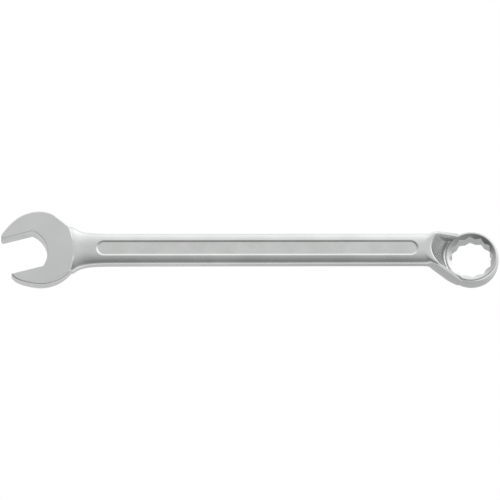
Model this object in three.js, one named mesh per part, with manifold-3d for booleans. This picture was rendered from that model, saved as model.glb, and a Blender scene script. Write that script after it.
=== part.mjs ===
// Combination wrench, size 17, in millimetres: one drop-forged bar with an open jaw turned 15 degrees at
// the -X end and a cranked twelve-point ring at the +X end. +Z is the front face, and the wrench stands on
// Z = 0 with the middle of its outline at X = Y = 0.
import * as THREE from 'three';
import { mergeVertices } from 'three/addons/utils/BufferGeometryUtils.js';
import Module from 'manifold-3d';

const wasm = await Module();
wasm.setup();

// Driving dimensions
const acrossFlats = 17;
const headToRing = 192.4;

const head = {
  radius: 16.95,
  thickness: 7.5,
  bulge: 0.35,
  edgeHeight: 1.2,
  backInset: 0.9,
  turn: THREE.MathUtils.degToRad(15),
  tipReach: 15.2,
  lowerTip: { start: 7, pull: 11.7 },
  upperTip: { start: 4.5, pull: 9.9 },
  upperShoulder: { pull: new THREE.Vector2(-8.5, 15.24), end: new THREE.Vector2(-13.4, 11.3) },
  throatReach: 2.9,
  throatRadius: 11,
  neckArcRadius: 30,
  neckArcReach: 14.3,
  neckArcShift: -1,
  upperCorner: new THREE.Vector2(12.6, 9.9),
  lowerCorner: new THREE.Vector2(12.9, -11.1),
  upperFlank: { start: new THREE.Vector2(6.4, 14.8), pull: new THREE.Vector2(4.1, 16.7) },
};

const shank = {
  halfWidth: 7.45,
  halfThickness: 3.3,
  squareness: 3.2,
  sectionPoints: 28,
  jawNeckFlare: 3.4,
  jawNeckLength: 3.6,
};

const ring = {
  faceRadius: 11.5,
  outerRadius: 12.25,
  thickness: 9.3,
  crank: THREE.MathUtils.degToRad(10),
  faceDrop: 7.8,
  shoulder: 1.6,
  chamferRadius: 10.8,
  chamferSlope: THREE.MathUtils.degToRad(30),
  points: 12,
  segments: 48,
};

const panel = {
  length: 142,
  halfWidth: 3.3,
  depth: 0.4,
  middleFromHead: 95.6,
};

// Places along X, measured from the jaw's centre
const neck = {
  barStart: 6,
  shankStart: 30,
  crankStart: 166,
  barEnd: 190,
  scoopStart: 172.8,
  scoopBow: 2.6,
  scoopRadius: 11.3,
  scoopHollow: 1.6,
  rimHollow: 1,
  rimSquareness: 10,
  underStart: 169,
  underEnd: 187,
  sink: 0.25,
  flareStart: 173,
  flareSlope: 0.25,
};

const ringCentre = new THREE.Vector3(headToRing, 0, -ring.faceDrop);

function solidOf(geometry) {
  const bare = geometry.clone();
  bare.deleteAttribute('normal');
  bare.deleteAttribute('uv');
  const merged = mergeVertices(bare, 1e-4);
  return new wasm.Manifold(new wasm.Mesh({
    numProp: 3,
    vertProperties: Float32Array.from(merged.attributes.position.array),
    triVerts: Uint32Array.from(merged.index.array),
  }));
}

function geometryOf(solid) {
  const mesh = solid.getMesh();
  const geometry = new THREE.BufferGeometry();
  geometry.setAttribute('position', new THREE.BufferAttribute(mesh.vertProperties, 3));
  geometry.setIndex(new THREE.BufferAttribute(mesh.triVerts, 1));
  geometry.computeVertexNormals();
  return geometry;
}

// A point given along and across the jaw's own axis, turned into the shank's axes
function jawPoint(along, across) {
  return new THREE.Vector2(along, across).rotateAround(new THREE.Vector2(), head.turn);
}

// Where the head's round edge stands at a given distance along the jaw's axis
function headRise(along) {
  return Math.sqrt(head.radius ** 2 - along ** 2);
}

function curveThrough(shape, pull, end) {
  shape.quadraticCurveTo(pull.x, pull.y, end.x, end.y);
}

// Face outline of the jaw head, from the lower tip round the back to the upper tip
function headOutline() {
  const lip = acrossFlats / 2;
  const { radius, tipReach, lowerTip, upperTip, upperShoulder, upperFlank } = head;
  const lowerEnd = jawPoint(-tipReach, -lip);
  const lowerStart = jawPoint(-lowerTip.start, -headRise(lowerTip.start));
  const upperStart = jawPoint(-upperTip.start, headRise(upperTip.start));
  const arcCentre = new THREE.Vector2(head.neckArcReach - head.neckArcRadius, head.neckArcShift);
  const arcAngle = (corner) => Math.atan2(corner.y - arcCentre.y, corner.x - arcCentre.x);
  const shape = new THREE.Shape();
  shape.moveTo(lowerEnd.x, lowerEnd.y);
  curveThrough(shape, jawPoint(-tipReach, -lowerTip.pull), lowerStart);
  shape.absarc(0, 0, radius, lowerStart.angle(), head.lowerCorner.angle(), false);
  shape.absarc(arcCentre.x, arcCentre.y, head.neckArcRadius,
    arcAngle(head.lowerCorner), arcAngle(head.upperCorner), false);
  shape.lineTo(upperFlank.start.x, upperFlank.start.y);
  curveThrough(shape, upperFlank.pull, new THREE.Vector2(0, radius));
  shape.absarc(0, 0, radius, Math.PI / 2, upperStart.angle(), false);
  curveThrough(shape, jawPoint(upperShoulder.pull.x, upperShoulder.pull.y),
    jawPoint(upperShoulder.end.x, upperShoulder.end.y));
  curveThrough(shape, jawPoint(-tipReach, upperTip.pull), jawPoint(-tipReach, lip));
  return shape;
}

// The head's sides swell slightly at the parting line and draw in towards the back face
function headBlank() {
  const geometry = new THREE.ExtrudeGeometry(headOutline(), {
    depth: head.thickness - 2 * head.edgeHeight,
    curveSegments: 14,
    bevelThickness: head.edgeHeight,
    bevelSize: head.bulge,
    bevelSegments: 2,
  });
  geometry.translate(0, 0, head.edgeHeight - head.thickness / 2);
  const position = geometry.attributes.position;
  for (let i = 0; i < position.count; i += 1) {
    const depth = Math.max(0, -2 * position.getZ(i) / head.thickness);
    const scale = 1 - (head.backInset / head.radius) * depth ** 2;
    position.setX(i, position.getX(i) * scale);
    position.setY(i, position.getY(i) * scale);
  }
  return solidOf(geometry);
}

// The mouth: two flat sides and a round throat
function mouthCutter() {
  const half = acrossFlats / 2;
  const throatAngle = Math.asin(half / head.throatRadius);
  const centre = head.throatReach - head.throatRadius;
  const shape = new THREE.Shape();
  shape.absarc(centre, 0, head.throatRadius, -throatAngle, throatAngle, false);
  shape.lineTo(-2 * head.radius, half);
  shape.lineTo(-2 * head.radius, -half);
  const geometry = new THREE.ExtrudeGeometry(shape, {
    depth: 2 * head.thickness, curveSegments: 20, bevelEnabled: false,
  });
  geometry.translate(0, 0, -head.thickness);
  geometry.rotateZ(head.turn);
  return solidOf(geometry);
}

// Unit section of the bar: a square with full round corners, as a superellipse
function barSection() {
  const points = [];
  for (let i = 0; i < shank.sectionPoints; i += 1) {
    const angle = (2 * Math.PI * i) / shank.sectionPoints;
    const side = (value) => Math.sign(value) * Math.abs(value) ** (2 / shank.squareness);
    points.push(new THREE.Vector2(side(Math.cos(angle)), side(Math.sin(angle))));
  }
  return new THREE.Shape(points);
}

function barStations() {
  const stations = [];
  for (let x = neck.barStart; x < neck.shankStart; x += 2) stations.push(x);
  stations.push(neck.shankStart);
  for (let x = neck.crankStart; x <= neck.barEnd; x += 1) stations.push(x);
  return stations;
}

function barHalfWidth(x) {
  const jawSide = shank.jawNeckFlare * Math.exp((head.neckArcReach - x) / shank.jawNeckLength);
  const ringSide = neck.flareSlope * Math.max(0, x - neck.flareStart);
  return shank.halfWidth + Math.min(jawSide, shank.jawNeckFlare) + ringSide;
}

// Height of a plane parallel to the ring's faces, at a depth below its front face
function ringPlane(x, depth) {
  const middle = headToRing + depth * Math.sin(ring.crank);
  return ringCentre.z - depth * Math.cos(ring.crank) + (x - middle) * Math.tan(ring.crank);
}

// The front drops from a crisp bowed edge, through a hollow scoop, to the rim of the ring's front face
function barTop(x, y) {
  const start = neck.scoopStart + neck.scoopBow * (y / shank.halfWidth) ** 2;
  const across = Math.min(Math.abs(y), neck.scoopRadius - neck.sink);
  const end = headToRing - Math.sqrt(neck.scoopRadius ** 2 - across ** 2) * Math.cos(ring.crank);
  const travelled = THREE.MathUtils.clamp((x - start) / (end - start), 0, 1);
  const outward = Math.min(1, (y / barHalfWidth(x)) ** 2);
  const hollow = THREE.MathUtils.lerp(neck.scoopHollow, neck.rimHollow, outward);
  const fall = 1 - (1 - travelled) ** hollow;
  return THREE.MathUtils.lerp(shank.halfThickness, ringPlane(x, neck.sink), fall);
}

function barUnder(x) {
  const fall = THREE.MathUtils.smoothstep(x, neck.underStart, neck.underEnd);
  return THREE.MathUtils.lerp(-shank.halfThickness, ringPlane(x, ring.thickness - neck.sink), fall);
}

// Draws a unit section's corners out towards a crisp rim along the ring's neck
function sharper(value, x) {
  const rim = THREE.MathUtils.smoothstep(x, neck.underStart, neck.flareStart);
  const squareness = THREE.MathUtils.lerp(shank.squareness, neck.rimSquareness, rim);
  return Math.sign(value) * Math.abs(value) ** (shank.squareness / squareness);
}

// Shank and both necks: one section carried along X, with its width, top and underside set at each station
function bar() {
  const stations = barStations();
  const steps = stations.length - 1;
  const geometry = new THREE.ExtrudeGeometry(barSection(), { depth: steps, steps, bevelEnabled: false });
  const position = geometry.attributes.position;
  for (let i = 0; i < position.count; i += 1) {
    const x = stations[Math.round(position.getZ(i))];
    const y = sharper(position.getX(i), x) * barHalfWidth(x);
    const height = sharper(position.getY(i), x);
    const z = THREE.MathUtils.lerp(barUnder(x), barTop(x, y), (height + 1) / 2);
    position.setXYZ(i, x, y, z);
  }
  return solidOf(geometry);
}

function onRing(geometry) {
  geometry.rotateX(Math.PI / 2);
  geometry.rotateY(-ring.crank);
  geometry.translate(ringCentre.x, ringCentre.y, ringCentre.z);
  return solidOf(geometry);
}

function turnedOnRing(outline) {
  const points = outline.map(([radius, height]) => new THREE.Vector2(radius, height));
  return onRing(new THREE.LatheGeometry(points, ring.segments));
}

function ringBlank() {
  const low = -ring.thickness;
  const { shoulder } = ring;
  const between = (ring.faceRadius + 2 * ring.outerRadius) / 3;
  return turnedOnRing([
    [0, low], [ring.faceRadius, low], [between, low + shoulder / 2], [ring.outerRadius, low + 2 * shoulder],
    [ring.outerRadius, -2 * shoulder], [between, -shoulder / 2], [ring.faceRadius, 0], [0, 0],
  ]);
}

// Twelve-point bore: two hexagons across the same flats, turned 30 degrees to each other
function boreCutter() {
  const corner = acrossFlats / Math.sqrt(3);
  const inner = acrossFlats / 2 / Math.cos(Math.PI / ring.points);
  const outline = [];
  for (let i = 0; i < 2 * ring.points; i += 1) {
    const radius = i % 2 ? inner : corner;
    const angle = (Math.PI * i) / ring.points;
    outline.push(new THREE.Vector2(radius * Math.cos(angle), radius * Math.sin(angle)));
  }
  const depth = 3 * ring.thickness;
  const geometry = new THREE.ExtrudeGeometry(new THREE.Shape(outline), { depth, bevelEnabled: false });
  geometry.translate(0, 0, -2 * ring.thickness);
  geometry.rotateY(-ring.crank);
  geometry.translate(ringCentre.x, ringCentre.y, ringCentre.z);
  return solidOf(geometry);
}

// Lead-in at both ends of the bore
function leadCutters() {
  const radius = ring.chamferRadius;
  const depth = radius * Math.tan(ring.chamferSlope);
  const low = -ring.thickness;
  const clear = 1;
  const upper = turnedOnRing([[0, -depth], [radius, 0], [radius, clear], [0, clear]]);
  const lower = turnedOnRing([[0, low - clear], [radius, low - clear], [radius, low], [0, low + depth]]);
  return upper.add(lower);
}

// Shallow sunk panel with round ends, on the front (side 1) or the back (side -1)
function panelCutter(side) {
  const straight = panel.length / 2 - panel.halfWidth;
  const shape = new THREE.Shape();
  shape.absarc(straight, 0, panel.halfWidth, -Math.PI / 2, Math.PI / 2, false);
  shape.absarc(-straight, 0, panel.halfWidth, Math.PI / 2, 1.5 * Math.PI, false);
  const depth = 4 * panel.depth;
  const geometry = new THREE.ExtrudeGeometry(shape, { depth, curveSegments: 8, bevelEnabled: false });
  const floor = shank.halfThickness - panel.depth;
  geometry.translate(panel.middleFromHead, 0, side > 0 ? floor : -floor - depth);
  return solidOf(geometry);
}

function forging() {
  const blank = headBlank().add(bar()).add(ringBlank());
  return blank
    .subtract(mouthCutter())
    .subtract(boreCutter())
    .subtract(leadCutters())
    .subtract(panelCutter(1))
    .subtract(panelCutter(-1));
}

const satinChrome = new THREE.MeshStandardMaterial({ color: 0xc6c8ca, roughness: 0.34, metalness: 1 });

const body = new THREE.Mesh(geometryOf(forging()), satinChrome);
body.name = 'wrench_forging';
body.geometry.computeBoundingBox();
const box = body.geometry.boundingBox;
const middle = box.getCenter(new THREE.Vector3());
body.position.set(-middle.x, -middle.y, -box.min.z);

const wrench = new THREE.Group();
wrench.add(body);

export default wrench;
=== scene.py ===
import math

import bmesh
import bpy
from mathutils import Matrix, Vector


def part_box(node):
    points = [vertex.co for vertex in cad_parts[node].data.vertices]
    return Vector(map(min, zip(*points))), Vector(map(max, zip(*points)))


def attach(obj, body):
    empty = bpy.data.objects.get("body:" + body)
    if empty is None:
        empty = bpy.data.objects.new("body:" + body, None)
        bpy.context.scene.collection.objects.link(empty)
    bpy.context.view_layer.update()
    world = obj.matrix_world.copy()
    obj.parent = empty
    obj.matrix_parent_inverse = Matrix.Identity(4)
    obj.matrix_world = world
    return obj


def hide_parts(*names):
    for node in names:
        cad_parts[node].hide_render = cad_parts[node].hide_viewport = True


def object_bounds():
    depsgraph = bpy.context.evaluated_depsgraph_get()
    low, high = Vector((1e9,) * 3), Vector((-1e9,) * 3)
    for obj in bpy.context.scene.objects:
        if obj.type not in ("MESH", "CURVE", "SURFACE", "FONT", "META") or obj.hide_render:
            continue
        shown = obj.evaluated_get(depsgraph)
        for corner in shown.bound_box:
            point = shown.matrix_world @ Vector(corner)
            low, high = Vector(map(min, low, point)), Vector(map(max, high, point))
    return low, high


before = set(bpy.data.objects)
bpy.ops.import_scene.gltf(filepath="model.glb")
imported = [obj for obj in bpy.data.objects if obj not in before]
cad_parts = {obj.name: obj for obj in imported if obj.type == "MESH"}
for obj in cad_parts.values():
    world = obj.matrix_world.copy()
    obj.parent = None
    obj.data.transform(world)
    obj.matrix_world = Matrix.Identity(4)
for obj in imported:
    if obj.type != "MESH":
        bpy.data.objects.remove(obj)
cadLow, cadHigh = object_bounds()

# Everything is modelled in millimetres around the jaw's centre, at mid-thickness of the head, and taken
# into the frame's metres at the end
millimetre = 0.001
wrench = {
    "acrossFlats": 17.0,
    "headToRing": 192.4,
    "tipToJawCentre": 17.307,
}


# A number socket with arithmetic, so that a rule for a shape or a light reads as a formula
class Field:
    def __init__(self, tree, socket):
        self.tree = tree
        self.socket = socket

    def op(self, name, *others):
        node = self.tree.nodes.new("ShaderNodeMath")
        node.operation = name
        for plug, value in zip(node.inputs, (self,) + others):
            feed(self.tree, value, plug)
        return Field(self.tree, node.outputs[0])

    def __add__(self, other):
        return self.op("ADD", other)

    def __sub__(self, other):
        return self.op("SUBTRACT", other)

    def __mul__(self, other):
        return self.op("MULTIPLY", other)

    def __truediv__(self, other):
        return self.op("DIVIDE", other)

    def __pow__(self, other):
        return self.op("POWER", other)

    def __neg__(self):
        return self.op("MULTIPLY", -1)

    def __radd__(self, other):
        return self + other

    def __rmul__(self, other):
        return self * other

    def __rsub__(self, other):
        return -self + other

    def abs(self):
        return self.op("ABSOLUTE")

    def sign(self):
        return self.op("SIGN")

    def sqrt(self):
        return self.op("SQRT")

    def exp(self):
        return self.op("EXPONENT")

    def sin(self):
        return self.op("SINE")

    def cos(self):
        return self.op("COSINE")

    def tan(self):
        return self.op("TANGENT")

    def atLeast(self, other):
        return self.op("MAXIMUM", other)

    def atMost(self, other):
        return self.op("MINIMUM", other)

    def clamp(self, low, high):
        return self.atLeast(low).atMost(high)


def feed(tree, value, plug):
    if isinstance(value, Field):
        tree.links.new(value.socket, plug)
    else:
        plug.default_value = value


def ramp(value, low, high):
    # 0 below low, 1 above high, smooth in between
    node = value.tree.nodes.new("ShaderNodeMapRange")
    node.interpolation_type = "SMOOTHSTEP"
    feed(value.tree, value, node.inputs["Value"])
    feed(value.tree, low, node.inputs["From Min"])
    feed(value.tree, high, node.inputs["From Max"])
    return Field(value.tree, node.outputs["Result"])


def between(start, end, share):
    return start + share * (end - start)


def newTree(name, sizes):
    tree = bpy.data.node_groups.new(name, "GeometryNodeTree")
    tree.interface.new_socket("Geometry", in_out="OUTPUT", socket_type="NodeSocketGeometry")
    for label, value in sizes.items():
        socket = tree.interface.new_socket(label, in_out="INPUT", socket_type="NodeSocketFloat")
        socket.default_value = value
    inputs = tree.nodes.new("NodeGroupInput")
    fields = {label: Field(tree, inputs.outputs[label]) for label in sizes}
    return tree, fields


def closeTree(tree, geometry, material):
    realize = tree.nodes.new("GeometryNodeRealizeInstances")
    paint = tree.nodes.new("GeometryNodeSetMaterial")
    paint.inputs["Material"].default_value = material
    output = tree.nodes.new("NodeGroupOutput")
    tree.links.new(geometry, realize.inputs["Geometry"])
    tree.links.new(realize.outputs["Geometry"], paint.inputs["Geometry"])
    tree.links.new(paint.outputs["Geometry"], output.inputs[0])


def grownFrom(tree, sizes, name):
    # runs a tree on an empty mesh and keeps only the mesh that it makes
    holder = bpy.data.objects.new(name, bpy.data.meshes.new(name))
    bpy.context.scene.collection.objects.link(holder)
    modifier = holder.modifiers.new("shape", "NODES")
    modifier.node_group = tree
    for item in tree.interface.items_tree:
        if item.in_out == "INPUT" and item.name in sizes:
            modifier[item.identifier] = float(sizes[item.name])
    graph = bpy.context.evaluated_depsgraph_get()
    mesh = bpy.data.meshes.new_from_object(holder.evaluated_get(graph))
    bpy.data.objects.remove(holder)
    grown = bpy.data.objects.new(name, mesh)
    bpy.context.scene.collection.objects.link(grown)
    return grown


weldGap = 1e-5    # points closer than this are one


def meshObject(name, points, faces):
    mesh = bpy.data.meshes.new(name)
    mesh.from_pydata(points, [], faces)
    shell = bmesh.new()
    shell.from_mesh(mesh)
    bmesh.ops.remove_doubles(shell, verts=shell.verts, dist=weldGap)
    bmesh.ops.recalc_face_normals(shell, faces=shell.faces)
    shell.to_mesh(mesh)
    shell.free()
    piece = bpy.data.objects.new(name, mesh)
    bpy.context.scene.collection.objects.link(piece)
    return piece


def stacked(name, rings):
    # a closed body through rings of points that all have the same count
    count = len(rings[0])
    points = [point for ring in rings for point in ring]
    faces = [list(range(count)), list(range(len(points) - count, len(points)))]
    for level in range(len(rings) - 1):
        for i in range(count):
            j = (i + 1) % count
            low, high = level * count, (level + 1) * count
            faces.append([low + i, low + j, high + j, high + i])
    return meshObject(name, points, faces)


axisRadius = 1e-6    # a turned profile starts and ends here, as good as on its axis


def turned(name, profile, segments):
    # a closed body turned round Z from (radius, height) pairs
    rings = []
    for radius, height in profile:
        ring = []
        for i in range(segments):
            angle = 2 * math.pi * i / segments
            ring.append((radius * math.cos(angle), radius * math.sin(angle), height))
        rings.append(ring)
    return stacked(name, rings)


def grownOutline(outline, distance):
    # moves a closed outline's points along their mean normals, outwards for an anticlockwise outline
    moved = []
    count = len(outline)
    for i, point in enumerate(outline):
        before = (point - outline[i - 1]).normalized()
        after = (outline[(i + 1) % count] - point).normalized()
        normal = Vector((before.y + after.y, -before.x - after.x)).normalized()
        spread = max(0.5, normal.dot(Vector((after.y, -after.x))))
        moved.append(point + normal * distance / spread)
    return moved


def arcPoints(centre, radius, start, end, steps):
    points = []
    for i in range(steps + 1):
        angle = start + (end - start) * i / steps
        points.append(Vector((centre[0] + radius * math.cos(angle), centre[1] + radius * math.sin(angle))))
    return points


def curvePoints(start, pull, end, steps):
    points = []
    for i in range(steps + 1):
        t = i / steps
        points.append(start * (1 - t) ** 2 + pull * 2 * t * (1 - t) + end * t ** 2)
    return points


def joined(runs):
    # one outline from several runs of points, without the doubled ends
    outline = []
    for run in runs:
        for point in run:
            if not outline or (point - outline[-1]).length > 1e-4:
                outline.append(point)
    if (outline[0] - outline[-1]).length < 1e-4:
        outline.pop()
    return outline


def filleted(profile, radius, steps=5):
    # rounds every corner between the ends of an open (radius, height) profile
    points = [Vector(pair) for pair in profile]
    rounded = [points[0]]
    for before, corner, after in zip(points, points[1:], points[2:]):
        reach = min(radius, (before - corner).length * 0.45, (after - corner).length * 0.45)
        start = corner + (before - corner).normalized() * reach
        end = corner + (after - corner).normalized() * reach
        rounded += curvePoints(start, corner, end, steps)
    rounded.append(points[-1])
    return [tuple(point) for point in rounded]


def combine(base, other, operation):
    modifier = base.modifiers.new(operation.lower(), "BOOLEAN")
    modifier.operation = operation
    modifier.solver = "MANIFOLD"
    modifier.object = other
    graph = bpy.context.evaluated_depsgraph_get()
    mesh = bpy.data.meshes.new_from_object(base.evaluated_get(graph))
    base.modifiers.remove(modifier)
    base.data = mesh
    bpy.data.objects.remove(other)


def newGroup(name, inputs, outputs):
    group = bpy.data.node_groups.new(name, "ShaderNodeTree")
    for label, (kind, value) in inputs.items():
        socket = group.interface.new_socket(label, in_out="INPUT", socket_type=kind)
        if value is not None:
            socket.default_value = value
    for label, kind in outputs.items():
        group.interface.new_socket(label, in_out="OUTPUT", socket_type=kind)
    return group, group.nodes.new("NodeGroupInput"), group.nodes.new("NodeGroupOutput")


def noiseOf(group, vector, size, detail, roughness):
    noise = group.nodes.new("ShaderNodeTexNoise")
    feed(group, size ** -1, noise.inputs["Scale"])
    noise.inputs["Detail"].default_value = detail
    noise.inputs["Roughness"].default_value = roughness
    group.links.new(vector, noise.inputs["Vector"])
    return Field(group, noise.outputs["Fac"])


def grainGroup():
    # satin grain: fine pits, plus scratches drawn out along the part
    group, source, result = newGroup("satinGrain", {
        "Vector": ("NodeSocketVector", None),
        "Pit Size": ("NodeSocketFloat", 0.0002),
        "Scratch Size": ("NodeSocketFloat", 0.0004),
        "Scratch Share": ("NodeSocketFloat", 0.4),
    }, {"Height": "NodeSocketFloat"})
    pit = Field(group, source.outputs["Pit Size"])
    scratch = Field(group, source.outputs["Scratch Size"])
    share = Field(group, source.outputs["Scratch Share"])
    pits = noiseOf(group, source.outputs["Vector"], pit, 3, 0.6)
    stretch = group.nodes.new("ShaderNodeMapping")
    stretch.inputs["Scale"].default_value = (0.06, 1, 1)
    group.links.new(source.outputs["Vector"], stretch.inputs["Vector"])
    lines = noiseOf(group, stretch.outputs["Vector"], scratch, 4, 0.7)
    height = between(pits, lines, share)
    group.links.new(height.socket, result.inputs["Height"])
    return group


def mottleGroup():
    # slow unevenness of the plated skin: a height for its waviness and a mask for its cloudiness
    group, source, result = newGroup("forgedSkin", {
        "Vector": ("NodeSocketVector", None),
        "Wave Size": ("NodeSocketFloat", 0.006),
        "Cloud Size": ("NodeSocketFloat", 0.014),
    }, {"Height": "NodeSocketFloat", "Cloud": "NodeSocketFloat"})
    waveSize = Field(group, source.outputs["Wave Size"])
    cloudSize = Field(group, source.outputs["Cloud Size"])
    wave = noiseOf(group, source.outputs["Vector"], waveSize, 2, 0.5)
    cloud = noiseOf(group, source.outputs["Vector"], cloudSize, 3, 0.55)
    group.links.new(wave.socket, result.inputs["Height"])
    group.links.new(ramp(cloud, 0.3, 0.7).socket, result.inputs["Cloud"])
    return group


edgeWear = {
    "reach": 0.0003,
    "turned": (0.99, 0.86),     # cosine between the true and the rounded normal, from unworn to worn
    "patches": (0.35, 0.6),
    "tint": (0.8, 0.8, 0.81),
}


def wearGroup():
    # 1 along sharp edges, broken up by noise
    group, source, result = newGroup("edgeWear", {
        "Vector": ("NodeSocketVector", None),
        "Breakup Size": ("NodeSocketFloat", 0.003),
    }, {"Mask": "NodeSocketFloat"})
    rounded = group.nodes.new("ShaderNodeBevel")
    rounded.samples = 4
    rounded.inputs["Radius"].default_value = edgeWear["reach"]
    facing = group.nodes.new("ShaderNodeNewGeometry")
    product = group.nodes.new("ShaderNodeVectorMath")
    product.operation = "DOT_PRODUCT"
    group.links.new(rounded.outputs["Normal"], product.inputs[0])
    group.links.new(facing.outputs["Normal"], product.inputs[1])
    edge = ramp(Field(group, product.outputs["Value"]), *edgeWear["turned"])
    breakup = noiseOf(group, source.outputs["Vector"], Field(group, source.outputs["Breakup Size"]), 2, 0.5)
    mask = edge * ramp(breakup, *edgeWear["patches"])
    group.links.new(mask.socket, result.inputs["Mask"])
    return group


def chromeMaterial(name, groups, look):
    material = bpy.data.materials.new(name)
    material.use_nodes = True
    tree = material.node_tree
    shader = tree.nodes["Principled BSDF"]
    shader.inputs["Metallic"].default_value = 1.0
    place = tree.nodes.new("ShaderNodeTexCoord").outputs["Object"]

    def placed(key, values):
        node = tree.nodes.new("ShaderNodeGroup")
        node.node_tree = groups[key]
        tree.links.new(place, node.inputs["Vector"])
        for label, value in values.items():
            node.inputs[label].default_value = value
        return node

    grain = placed("grain", {
        "Pit Size": look["pitSize"],
        "Scratch Size": look["scratchSize"],
        "Scratch Share": look["scratchShare"],
    })
    skin = placed("skin", {"Wave Size": look["waveSize"], "Cloud Size": look["cloudSize"]})
    wear = placed("wear", {})

    worn = Field(tree, wear.outputs["Mask"])
    cloud = Field(tree, skin.outputs["Cloud"])
    smoothest = look["roughness"] - look["roughnessSpread"]
    roughest = look["roughness"] + look["roughnessSpread"]
    rough = between(smoothest, roughest, cloud) - worn * look["wornPolish"]
    tree.links.new(rough.socket, shader.inputs["Roughness"])

    tint = tree.nodes.new("ShaderNodeMix")
    tint.data_type = "RGBA"
    tree.links.new(cloud.socket, tint.inputs["Factor"])
    tint.inputs["A"].default_value = (*look["darkTint"], 1)
    tint.inputs["B"].default_value = (*look["lightTint"], 1)
    bright = tree.nodes.new("ShaderNodeMix")
    bright.data_type = "RGBA"
    tree.links.new((worn * look["wornShare"]).socket, bright.inputs["Factor"])
    tree.links.new(tint.outputs["Result"], bright.inputs["A"])
    bright.inputs["B"].default_value = (*edgeWear["tint"], 1)
    tree.links.new(bright.outputs["Result"], shader.inputs["Base Color"])

    fine = tree.nodes.new("ShaderNodeBump")
    fine.inputs["Strength"].default_value = look["grainStrength"]
    fine.inputs["Distance"].default_value = look["grainDepth"]
    tree.links.new(grain.outputs["Height"], fine.inputs["Height"])
    slow = tree.nodes.new("ShaderNodeBump")
    slow.inputs["Strength"].default_value = 1
    slow.inputs["Distance"].default_value = look["waveDepth"]
    tree.links.new(skin.outputs["Height"], slow.inputs["Height"])
    tree.links.new(fine.outputs["Normal"], slow.inputs["Normal"])
    tree.links.new(slow.outputs["Normal"], shader.inputs["Normal"])
    return material


chromeLooks = {
    # blasted, then plated: the forging's whole skin
    "satinChrome": {
        "pitSize": 0.00022, "scratchSize": 0.00035, "scratchShare": 0.35,
        "waveSize": 0.007, "cloudSize": 0.016, "waveDepth": 0.00005,
        "roughness": 0.27, "roughnessSpread": 0.03, "grainStrength": 0.35, "grainDepth": 0.00002,
        "darkTint": (0.6, 0.605, 0.605), "lightTint": (0.66, 0.665, 0.665),
        "wornPolish": 0.06, "wornShare": 0.5,
    },
    # belt-ground before plating: the flat faces of the head and the ring
    "groundFace": {
        "pitSize": 0.00018, "scratchSize": 0.00022, "scratchShare": 0.6,
        "waveSize": 0.012, "cloudSize": 0.02, "waveDepth": 0.00001,
        "roughness": 0.3, "roughnessSpread": 0.025, "grainStrength": 0.3, "grainDepth": 0.00002,
        "darkTint": (0.6, 0.605, 0.605), "lightTint": (0.64, 0.645, 0.645),
        "wornPolish": 0.05, "wornShare": 0.4,
    },
    # the sunk panel keeps the coarser forged skin
    "panelSkin": {
        "pitSize": 0.0003, "scratchSize": 0.0004, "scratchShare": 0.15,
        "waveSize": 0.004, "cloudSize": 0.01, "waveDepth": 0.00004,
        "roughness": 0.36, "roughnessSpread": 0.03, "grainStrength": 0.5, "grainDepth": 0.00003,
        "darkTint": (0.6, 0.61, 0.6), "lightTint": (0.66, 0.67, 0.66),
        "wornPolish": 0.05, "wornShare": 0.3,
    },
    # broached walls of the mouth and the bore
    "broachedWall": {
        "pitSize": 0.00025, "scratchSize": 0.0003, "scratchShare": 0.5,
        "waveSize": 0.003, "cloudSize": 0.008, "waveDepth": 0.00003,
        "roughness": 0.24, "roughnessSpread": 0.04, "grainStrength": 0.4, "grainDepth": 0.00002,
        "darkTint": (0.55, 0.555, 0.56), "lightTint": (0.64, 0.645, 0.65),
        "wornPolish": 0.05, "wornShare": 0.5,
    },
}


def makeMaterials():
    groups = {"grain": grainGroup(), "skin": mottleGroup(), "wear": wearGroup()}
    return {name: chromeMaterial(name, groups, look) for name, look in chromeLooks.items()}


materials = makeMaterials()
materialOrder = list(chromeLooks)
print("materials:", ", ".join(materialOrder))


levelFace = 0.999       # a normal this upright is a flat face's
nearlyLevel = 0.9       # and this one may lean a little


def paintAll(piece, name):
    piece.data.materials.clear()
    for key in materialOrder:
        piece.data.materials.append(materials[key])
    for face in piece.data.polygons:
        face.material_index = materialOrder.index(name)


head = {
    "radius": 16.95,
    "thickness": 7.5,
    "bulge": 0.28,
    "edgeRound": 0.6,
    "backInset": 0.9,
    "turn": math.radians(15),
    "tipReach": 15.2,
    "lowerTip": {"start": 7, "pull": 11.7},
    "upperTip": {"start": 4.5, "pull": 9.9},
    "upperShoulder": {"pull": (-8.5, 15.24), "end": (-13.4, 11.3)},
    "throatReach": 2.75,
    "throatRadius": 11,
    "neckArcRadius": 30,
    "neckArcReach": 14.3,
    "neckArcShift": -1,
    "upperCorner": (12.6, 9.9),
    "lowerCorner": (12.9, -11.1),
    "upperFlank": {"start": (6.4, 14.8), "pull": (4.1, 16.7)},
    "lipRadius": 0.25,      # small round along the mouth's edges
    "partingRise": 0.06,    # trimmed flash at mid-thickness
    "partingHeight": 0.5,
    "partingCrest": 0.3,
    "cutterOverrun": 1,
}


def jawPoint(along, across):
    return Matrix.Rotation(head["turn"], 2) @ Vector((along, across))


def angleOf(point, centre=(0, 0)):
    return math.atan2(point[1] - centre[1], point[0] - centre[0])


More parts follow.
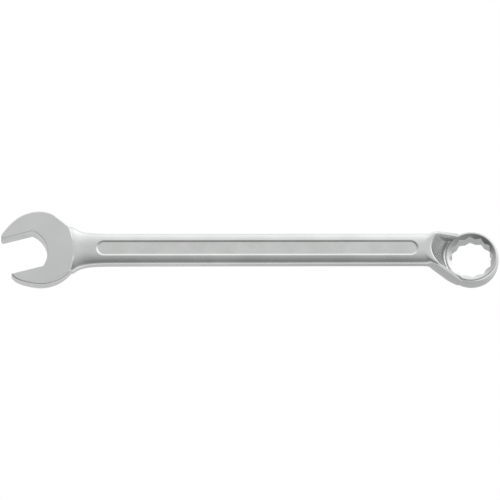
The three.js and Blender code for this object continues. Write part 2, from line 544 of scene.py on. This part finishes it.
def headOutline():
    lip = wrench["acrossFlats"] / 2
    radius, reach = head["radius"], head["tipReach"]
    lower, upper = head["lowerTip"], head["upperTip"]
    shoulder, flank = head["upperShoulder"], head["upperFlank"]
    lowerStart = jawPoint(-lower["start"], -math.sqrt(radius ** 2 - lower["start"] ** 2))
    upperStart = jawPoint(-upper["start"], math.sqrt(radius ** 2 - upper["start"] ** 2))
    arcCentre = (head["neckArcReach"] - head["neckArcRadius"], head["neckArcShift"])
    shoulderEnd = jawPoint(*shoulder["end"])
    return joined([
        curvePoints(jawPoint(-reach, -lip), jawPoint(-reach, -lower["pull"]), lowerStart, 16),
        arcPoints((0, 0), radius, angleOf(lowerStart), angleOf(head["lowerCorner"]), 40),
        arcPoints(arcCentre, head["neckArcRadius"], angleOf(head["lowerCorner"], arcCentre),
                  angleOf(head["upperCorner"], arcCentre), 30),
        curvePoints(Vector(flank["start"]), Vector(flank["pull"]), Vector((0, radius)), 14),
        arcPoints((0, 0), radius, math.pi / 2, angleOf(upperStart), 20),
        curvePoints(upperStart, jawPoint(*shoulder["pull"]), shoulderEnd, 14),
        curvePoints(shoulderEnd, jawPoint(-reach, upper["pull"]), jawPoint(-reach, lip), 12),
    ])


def headSideProfile():
    # (height, growth) pairs from the front face round the swollen side to the back face
    half, edge, bulge = head["thickness"] / 2, head["edgeRound"], head["bulge"]
    steps = 7
    front = []
    for i in range(steps + 1):
        angle = math.pi / 2 * i / steps
        front.append((half - edge + edge * math.cos(angle), bulge - edge + edge * math.sin(angle)))
    front.append((head["partingHeight"], bulge))
    front.append((head["partingCrest"], bulge + head["partingRise"]))
    return front + [(-height, growth) for height, growth in reversed(front)]


def headBlank():
    outline = headOutline()
    half = head["thickness"] / 2
    rings = []
    for height, growth in headSideProfile():
        depth = max(0, -height / half)
        scale = 1 - head["backInset"] / head["radius"] * depth ** 2
        grown = grownOutline(outline, growth)
        rings.append([(p.x * scale, p.y * scale, height) for p in grown])
    blank = stacked("headBlank", rings)
    paintAll(blank, "satinChrome")
    for face in blank.data.polygons:
        if abs(face.normal.z) > levelFace:
            face.material_index = materialOrder.index("groundFace")
    return blank


def mouthCutter():
    half = wrench["acrossFlats"] / 2
    radius, lip, face = head["throatRadius"], head["lipRadius"], head["thickness"] / 2
    throatAngle = math.asin(half / radius)
    centre = head["throatReach"] - radius
    far = -2 * head["radius"]
    outline = joined([
        arcPoints((centre, 0), radius, -throatAngle, throatAngle, 36),
        [Vector((far, half)), Vector((far, -half))],
    ])
    outline = [jawPoint(point.x, point.y) for point in outline]
    steps = 5
    levels = [(face + head["cutterOverrun"], lip)]
    for i in range(steps + 1):
        angle = math.pi / 2 * (1 - i / steps)
        levels.append((face - lip + lip * math.sin(angle), lip - lip * math.cos(angle)))
    levels += [(-height, growth) for height, growth in reversed(levels)]
    rings = []
    for height, growth in levels:
        rings.append([(p.x, p.y, height) for p in grownOutline(outline, growth)])
    cutter = stacked("mouthCutter", rings)
    paintAll(cutter, "broachedWall")
    return cutter


# the ring end's values stand before the shank's, because the bar runs down into the ring
ring = {
    "faceRadius": 11.5,
    "outerRadius": 12.25,
    "thickness": 9.3,
    "shoulder": 1.6,
    "crank": math.radians(10),
    "faceDrop": 7.8,
    "chamferRadius": 10.8,
    "chamferSlope": math.radians(30),
    "points": 12,
    "segments": 160,
    "edgeRound": 0.35,
    "chamferRound": 0.3,
    "chamferBrim": (0.1, 0.02),     # how far the rounded cone flares past its rim, out and up
    "chamferOverlap": 0.12,
}

# the bar with both of its necks: every value is an input of its node tree
shank = {
    "Half Width": 7.4,
    "Half Thickness": 3.3,
    "Squareness": 3.2,
    "Jaw Neck Squareness": 2.7,
    "Back Inset": 0.07,
    "Ring Neck Inset": 0.1,
    "Head Rise": 0.6,
    "Face Height": 3.748,
    "Rim Squareness": 13,
    "Corner Crowding": 0.6,
    "Jaw Neck Flare": 3.4,
    "Jaw Neck Length": 3.6,
    "Panel Length": 142,
    "Panel Half Width": 3.2,
    "Panel Depth": 0.4,
    "Panel Middle": 95.6,
    "Wall Width": 0.75,
    "Scoop Start": 172.8,
    "Scoop Bow": 4.0,
    "Scoop Radius": 11.3,
    "Scoop Hollow": 1.45,
    "Rim Hollow": 0.85,
    "Rim Reach": 10.5,
    "Rim End": 187.7,
    "Edge Softness": 0.03,
    "Under Start": 169,
    "Under End": 188.5,
    "Sink": 0.25,
    "Flare Start": 172.2,
    "Flare Slope": 0.27,
    "Widest": 11.3,
    "End Tuck": 0.12,
    "Parting Rise": 0.1,
    "Parting Share": 0.2,
}

# where along the bar, in millimetres from the jaw's centre, one rule hands over to the next
spans = {
    "headRiseEnds": (12, 20),
    "sectionSettles": (16, 27),
    "bowGrows": (164, 171),
    "partingEnds": (166, 172),
    "backNarrows": (166, 176),
    "faceLimitEnds": (169, 170),
    "bowFades": (176, 190),
    "endTucks": (187.2, 189.8),
}

# the same across the bar, as shares of its half width
shares = {
    "rim": (0.76, 0.84),
    "rimMiddle": 0.8,
    "sideEdge": (0.9, 0.98),
}

shankStart = 6
shankSides = 264
shankRuns = [   # count and length of the steps along the bar
    (17, 1.0), (26, 0.25), (33, 4.0), (28, 0.25), (6, 0.5), (6, 0.15), (10, 0.3), (32, 0.45),
]


def stationX(station):
    x = shankStart
    passed = 0
    for count, step in shankRuns:
        x = x + (station - passed).clamp(0, count) * step
        passed += count
    return x


def crowded(side, share):
    # moves points along a square's side towards its corners
    return between(side, (side * (math.pi / 2)).sin(), share)


def shankTree(material):
    sizes = dict(shank)
    sizes.update({
        "Crank": ring["crank"],
        "Face Drop": ring["faceDrop"],
        "Ring Thickness": ring["thickness"],
        "Head To Ring": wrench["headToRing"],
    })
    tree, size = newTree("wrenchShank", sizes)
    steps = sum(count for count, step in shankRuns)
    tube = tree.nodes.new("GeometryNodeMeshCylinder")
    tube.fill_type = "NGON"
    tube.inputs["Vertices"].default_value = shankSides
    tube.inputs["Side Segments"].default_value = steps
    tube.inputs["Radius"].default_value = 1
    tube.inputs["Depth"].default_value = steps

    place = tree.nodes.new("GeometryNodeInputPosition")
    split = tree.nodes.new("ShaderNodeSeparateXYZ")
    tree.links.new(place.outputs[0], split.inputs[0])
    circleX, circleY, lift = (Field(tree, socket) for socket in split.outputs)
    x = stationX(lift + steps / 2)

    # section: a square with round corners, rounder at the jaw's neck and crisper along the ring's rims
    settled = ramp(x, *spans["sectionSettles"])
    crisp = ramp(x, size["Under Start"], size["Flare Start"])
    squareness = between(size["Jaw Neck Squareness"], size["Squareness"], settled)
    squareness = between(squareness, size["Rim Squareness"], crisp)
    reach = circleX.abs().atLeast(circleY.abs())
    squareX, squareY = (crowded(side / reach, size["Corner Crowding"]) for side in (circleX, circleY))
    pull = (squareX.abs() ** squareness + squareY.abs() ** squareness) ** (-1 * squareness ** -1)
    across, height = squareX * pull, squareY * pull
    inset = between(size["Back Inset"], size["Ring Neck Inset"], ramp(x, *spans["backNarrows"]))
    across = across * (1 - inset * (-height).atLeast(0) ** 1.5)

    def halfWidth(at):
        jawSide = size["Jaw Neck Flare"] * ((head["neckArcReach"] - at) / size["Jaw Neck Length"]).exp()
        ringSide = size["Flare Slope"] * (at - size["Flare Start"]).atLeast(0)
        width = size["Half Width"] + jawSide.atMost(size["Jaw Neck Flare"]) + ringSide
        return width.atMost(size["Widest"])

    # the stations bow with the crisp edge of the scoop in front of the ring
    bow = size["Scoop Bow"] * across ** 2
    bowed = x + bow * ramp(x, *spans["bowGrows"]) * (1 - ramp(x, *spans["bowFades"]))
    tuck = 1 - size["End Tuck"] * ramp(x, *spans["endTucks"])
    y = across * halfWidth(bowed) * tuck

    def ringPlane(at, depth):
        # height of the ring's face, or of a plane at a depth under it
        middle = size["Head To Ring"] + depth * size["Crank"].sin()
        return (at - middle) * size["Crank"].tan() - size["Face Drop"] - depth * size["Crank"].cos()

    # the scoop falls hollow to the ring's face, between two rims that fall almost straight
    rim = ramp(across.abs(), *shares["rim"])
    start = size["Scoop Start"] + size["Scoop Bow"] * across.abs().atMost(shares["rimMiddle"]) ** 2
    rimY = y.abs().atMost(size["Rim Reach"])
    end = size["Head To Ring"] - (size["Scoop Radius"] ** 2 - rimY ** 2).sqrt() * size["Crank"].cos()
    end = between(end, size["Rim End"], rim)
    travelled = ((bowed - start) / (end - start)).atMost(1)
    travelled = ((travelled ** 2 + size["Edge Softness"] ** 2).sqrt() + travelled) * 0.5
    travelled = travelled.atMost(1)
    hollow = between(size["Scoop Hollow"], size["Rim Hollow"], rim)
    fall = 1 - (1 - travelled) ** hollow
    flat = size["Half Thickness"] + size["Head Rise"] * (1 - ramp(x, *spans["headRiseEnds"]))
    top = between(flat, ringPlane(bowed, size["Sink"]), fall)
    ringBack = ringPlane(bowed, size["Ring Thickness"] - size["Sink"])
    under = between(-flat, ringBack, ramp(bowed, size["Under Start"], size["Under End"]))

    # sunk panels with soft walls, front and back
    straight = size["Panel Length"] / 2 - size["Panel Half Width"]
    past = ((bowed - size["Panel Middle"]).abs() - straight).atLeast(0)
    edge = (past ** 2 + y ** 2).sqrt() - size["Panel Half Width"]
    wall = size["Wall Width"] / 2
    floor = height.sign() * (size["Half Thickness"] - size["Panel Depth"])
    z = between(between(under, top, (height + 1) / 2), floor, 1 - ramp(edge, -wall, wall))

    # up to the ring's neck, nothing stands above the head's faces
    limited = z.clamp(-size["Face Height"], size["Face Height"])
    z = between(limited, z, ramp(x, *spans["faceLimitEnds"]))

    # trimmed flash along both edges
    strip = 1 - ramp(height.abs(), size["Parting Share"] / 2, size["Parting Share"])
    plain = 1 - ramp(x, *spans["partingEnds"])
    side = across.sign() * ramp(across.abs(), *shares["sideEdge"])
    y = y + side * strip * plain * size["Parting Rise"]

    gather = tree.nodes.new("ShaderNodeCombineXYZ")
    for plug, value in zip(gather.inputs, (bowed, y, z)):
        feed(tree, value, plug)
    move = tree.nodes.new("GeometryNodeSetPosition")
    tree.links.new(tube.outputs["Mesh"], move.inputs["Geometry"])
    tree.links.new(gather.outputs[0], move.inputs["Position"])
    closeTree(tree, move.outputs["Geometry"], material)
    return tree, sizes


def shankBar():
    tree, sizes = shankTree(materials["satinChrome"])
    bar = grownFrom(tree, sizes, "shankBar")
    shell = bmesh.new()
    shell.from_mesh(bar.data)
    bmesh.ops.recalc_face_normals(shell, faces=shell.faces)
    shell.to_mesh(bar.data)
    shell.free()
    paintAll(bar, "satinChrome")
    straight = shank["Panel Length"] / 2 - shank["Panel Half Width"]
    floorReach = shank["Panel Half Width"] - shank["Wall Width"] / 2
    for face in bar.data.polygons:
        past = max(0, abs(face.center.x - shank["Panel Middle"]) - straight)
        if math.hypot(past, face.center.y) < floorReach and abs(face.normal.z) > nearlyLevel:
            face.material_index = materialOrder.index("panelSkin")
    return bar


ringCentre = Vector((wrench["headToRing"], 0, -ring["faceDrop"]))
ringPlace = Matrix.Translation(ringCentre) @ Matrix.Rotation(-ring["crank"], 4, "Y")


def onRing(piece):
    piece.data.transform(ringPlace)
    return piece


def ringBlank():
    low = -ring["thickness"]
    face, outer, shoulder = ring["faceRadius"], ring["outerRadius"], ring["shoulder"]
    brow = (face + 2 * outer) / 3    # the shoulder is steep near the wall and flatter near the face
    profile = filleted([
        (axisRadius, low), (face, low), (brow, low + shoulder / 2), (outer, low + 2 * shoulder),
        (outer, -2 * shoulder), (brow, -shoulder / 2), (face, 0), (axisRadius, 0),
    ], ring["edgeRound"])
    blank = turned("ringBlank", profile, ring["segments"])
    paintAll(blank, "satinChrome")
    for polygon in blank.data.polygons:
        if abs(polygon.normal.z) > levelFace:
            polygon.material_index = materialOrder.index("groundFace")
    return onRing(blank)


def boreTree(material):
    corner = wrench["acrossFlats"] / math.sqrt(3)
    inner = wrench["acrossFlats"] / 2 / math.cos(math.pi / ring["points"])
    sizes = {"Corner Radius": corner, "Inner Radius": inner, "Depth": 3 * ring["thickness"]}
    tree, size = newTree("twelvePointBore", sizes)
    star = tree.nodes.new("GeometryNodeCurveStar")
    star.inputs["Points"].default_value = ring["points"]
    feed(tree, size["Inner Radius"], star.inputs["Inner Radius"])
    feed(tree, size["Corner Radius"], star.inputs["Outer Radius"])
    fill = tree.nodes.new("GeometryNodeFillCurve")
    fill.mode = "NGONS"
    tree.links.new(star.outputs["Curve"], fill.inputs["Curve"])
    prism = tree.nodes.new("GeometryNodeExtrudeMesh")
    prism.inputs["Individual"].default_value = False
    tree.links.new(fill.outputs["Mesh"], prism.inputs["Mesh"])
    feed(tree, size["Depth"], prism.inputs["Offset Scale"])
    base = tree.nodes.new("GeometryNodeFlipFaces")
    tree.links.new(fill.outputs["Mesh"], base.inputs["Mesh"])
    join = tree.nodes.new("GeometryNodeJoinGeometry")
    tree.links.new(prism.outputs["Mesh"], join.inputs[0])
    tree.links.new(base.outputs["Mesh"], join.inputs[0])
    merge = tree.nodes.new("GeometryNodeMergeByDistance")
    tree.links.new(join.outputs[0], merge.inputs["Geometry"])
    closeTree(tree, merge.outputs["Geometry"], material)
    return tree, sizes


def boreCutter():
    tree, sizes = boreTree(materials["broachedWall"])
    cutter = grownFrom(tree, sizes, "boreCutter")
    cutter.data.transform(Matrix.Translation((0, 0, -2 * ring["thickness"])))
    paintAll(cutter, "broachedWall")
    return onRing(cutter)


def leadCutter(name, side):
    # the cone at one end of the bore: side 1 is the front, side -1 the back
    radius, overlap, soft = ring["chamferRadius"], ring["chamferOverlap"], ring["chamferRound"]
    slope = math.tan(ring["chamferSlope"])
    start, rim = Vector((radius - soft, -soft * slope)), Vector((radius, 0))
    mouth = curvePoints(start, rim, rim + Vector(ring["chamferBrim"]), 4)
    profile = [(axisRadius, -radius * slope)] + [tuple(point) for point in mouth]
    profile += [(radius + overlap, soft), (radius + overlap, 1), (axisRadius, 1)]
    cutter = turned(name, profile, ring["segments"])
    if side < 0:
        cutter.data.transform(Matrix.Rotation(math.pi, 4, "X"))
        cutter.data.transform(Matrix.Translation((0, 0, -ring["thickness"])))
    paintAll(cutter, "broachedWall")
    return onRing(cutter)


def forging():
    body = headBlank()
    combine(body, shankBar(), "UNION")
    print("head and shank joined:", len(body.data.polygons), "faces")
    combine(body, ringBlank(), "UNION")
    combine(body, mouthCutter(), "DIFFERENCE")
    combine(body, boreCutter(), "DIFFERENCE")
    combine(body, leadCutter("frontLead", 1), "DIFFERENCE")
    combine(body, leadCutter("backLead", -1), "DIFFERENCE")
    print("forging cut:", len(body.data.polygons), "faces")
    body.name = "wrenchForging"
    body.data.name = "wrenchForging"
    return body


def intoFrame(body):
    low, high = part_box("wrench_forging")
    home = Vector((
        low[0] + wrench["tipToJawCentre"] * millimetre,
        (low[1] + high[1]) / 2,
        high[2] - head["thickness"] / 2 * millimetre,
    ))
    body.data.transform(Matrix.Translation(home) @ Matrix.Scale(millimetre, 4))


finish = {
    "creaseAngle": math.radians(38),
    "weldGap": 2e-6,
    "shortestEdge": 1e-6,
    "faceWeight": 80,
}


def smoothShaded(body):
    shell = bmesh.new()
    shell.from_mesh(body.data)
    bmesh.ops.remove_doubles(shell, verts=shell.verts, dist=finish["weldGap"])
    bmesh.ops.dissolve_degenerate(shell, dist=finish["shortestEdge"], edges=shell.edges)
    shell.to_mesh(body.data)
    shell.free()
    for face in body.data.polygons:
        face.use_smooth = True
    body.data.set_sharp_from_angle(angle=finish["creaseAngle"])
    weighted = body.modifiers.new("faceWeights", "WEIGHTED_NORMAL")
    weighted.keep_sharp = True
    weighted.weight = finish["faceWeight"]


body = forging()
intoFrame(body)
smoothShaded(body)
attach(body, "root")
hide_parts("wrench_forging")
print("forging:", len(body.data.polygons), "faces")


# The floor is a light table. The camera sees it white, and the wrench's flanks and walls reflect a glow
# that changes from the jaw to the ring, past the ring's end and behind the wrench
studio = {
    "floorSize": 6.0,
    "floorDrop": 0.0002,
    "floorBrightness": 1.0,
    "jawGlow": 0.8,
    "ringGlow": 0.62,
    "endGlow": 1.1,
    "backGlow": 1.15,
    "jawToRing": (-0.05, 0.1),
    "pastRing": (0.108, 0.128),
    "behind": (0.014, 0.045),
}

# brightness of the soft surround by its angle from overhead, in degrees, positive towards the back
surround = [
    (-90, 1.3), (-76, 1.05), (-58, 0.52), (-40, 0.3), (-20, 0.32),
    (2, 0.5), (21, 0.84), (42, 1.18), (65, 1.4), (90, 1.42),
]

# and how it changes towards the two sides: dimmer past the jaw, brighter for a stretch towards the ring
sideLight = {
    "jawSide": 0.5,
    "jawSideEnds": (-0.8, -0.05),
    "ringSideGain": 0.35,
    "gainGrows": (0.15, 0.6),
    "gainFades": (0.7, 0.95),
}


def whiteFloor():
    half = studio["floorSize"] / 2
    drop = -studio["floorDrop"]
    corners = [(-half, -half, drop), (half, -half, drop), (half, half, drop), (-half, half, drop)]
    mesh = bpy.data.meshes.new("floor")
    mesh.from_pydata(corners, [], [(0, 1, 2, 3)])
    floor = bpy.data.objects.new("floor", mesh)
    bpy.context.scene.collection.objects.link(floor)
    paper = bpy.data.materials.new("lightTable")
    paper.use_nodes = True
    shader = paper.node_tree.nodes["Principled BSDF"]
    shader.inputs["Base Color"].default_value = (0, 0, 0, 1)
    shader.inputs["Roughness"].default_value = 1
    shader.inputs["Specular IOR Level"].default_value = 0
    shader.inputs["Emission Color"].default_value = (1, 1, 1, 1)
    tree = paper.node_tree
    place = tree.nodes.new("ShaderNodeSeparateXYZ")
    tree.links.new(tree.nodes.new("ShaderNodeTexCoord").outputs["Object"], place.inputs[0])
    across, deep = (Field(tree, place.outputs[axis]) for axis in ("X", "Y"))
    glow = between(studio["jawGlow"], studio["ringGlow"], ramp(across, *studio["jawToRing"]))
    glow = between(glow, studio["endGlow"], ramp(across, *studio["pastRing"]))
    glow = between(glow, studio["backGlow"], ramp(deep, *studio["behind"]))
    seen = Field(tree, tree.nodes.new("ShaderNodeLightPath").outputs["Is Camera Ray"])
    shown = between(glow, studio["floorBrightness"], seen)
    tree.links.new(shown.socket, shader.inputs["Emission Strength"])
    mesh.materials.append(paper)


def softSurround():
    world = bpy.data.worlds.new("softStudio")
    bpy.context.scene.world = world
    world.use_nodes = True
    tree = world.node_tree
    background = tree.nodes["Background"]
    direction = tree.nodes.new("ShaderNodeTexCoord").outputs["Generated"]
    split = tree.nodes.new("ShaderNodeSeparateXYZ")
    tree.links.new(direction, split.inputs[0])
    side, depth, up = (Field(tree, socket) for socket in split.outputs)
    angle = depth.op("ARCTAN2", up) * (180 / math.pi)
    level = surround[0][1]
    for (low, start), (high, end) in zip(surround, surround[1:]):
        level = level + ramp(angle, low, high) * (end - start)
    gain = ramp(side, *sideLight["gainGrows"]) * (1 - ramp(side, *sideLight["gainFades"]))
    spread = between(sideLight["jawSide"], 1, ramp(side, *sideLight["jawSideEnds"]))
    level = level * (spread + gain * sideLight["ringSideGain"])
    seen = Field(tree, tree.nodes.new("ShaderNodeLightPath").outputs["Is Camera Ray"])
    strength = between(level, 1, seen)
    tree.links.new(strength.socket, background.inputs["Strength"])
    background.inputs["Color"].default_value = (1, 1, 1, 1)


view = {
    "aim": (-0.004193, 0, cadHigh[2]),
    "distance": 1.2,
    "azimuth": math.radians(-14.25),
    "elevation": math.radians(68.01),
    "roll": math.radians(13.19),
    "lens": 196.2,
    "shift": (0.0088, -0.0056),
}


def mainCamera():
    lens = bpy.data.cameras.new("mainCamera")
    lens.lens = view["lens"]
    lens.sensor_width = 36
    lens.shift_x, lens.shift_y = view["shift"]
    lens.clip_start, lens.clip_end = 0.01, 20
    camera = bpy.data.objects.new("mainCamera", lens)
    bpy.context.scene.collection.objects.link(camera)
    azimuth, elevation = view["azimuth"], view["elevation"]
    towards = Vector((
        math.sin(azimuth) * math.cos(elevation),
        -math.cos(azimuth) * math.cos(elevation),
        math.sin(elevation),
    ))
    place = Matrix.Translation(Vector(view["aim"]) + towards * view["distance"])
    turn = towards.to_track_quat("Z", "Y").to_matrix().to_4x4()
    camera.matrix_world = place @ turn @ Matrix.Rotation(view["roll"], 4, "Z")
    bpy.context.scene.camera = camera


whiteFloor()
softSurround()
mainCamera()
bpy.context.scene.view_settings.view_transform = "Standard"
print("floor, light and camera placed")
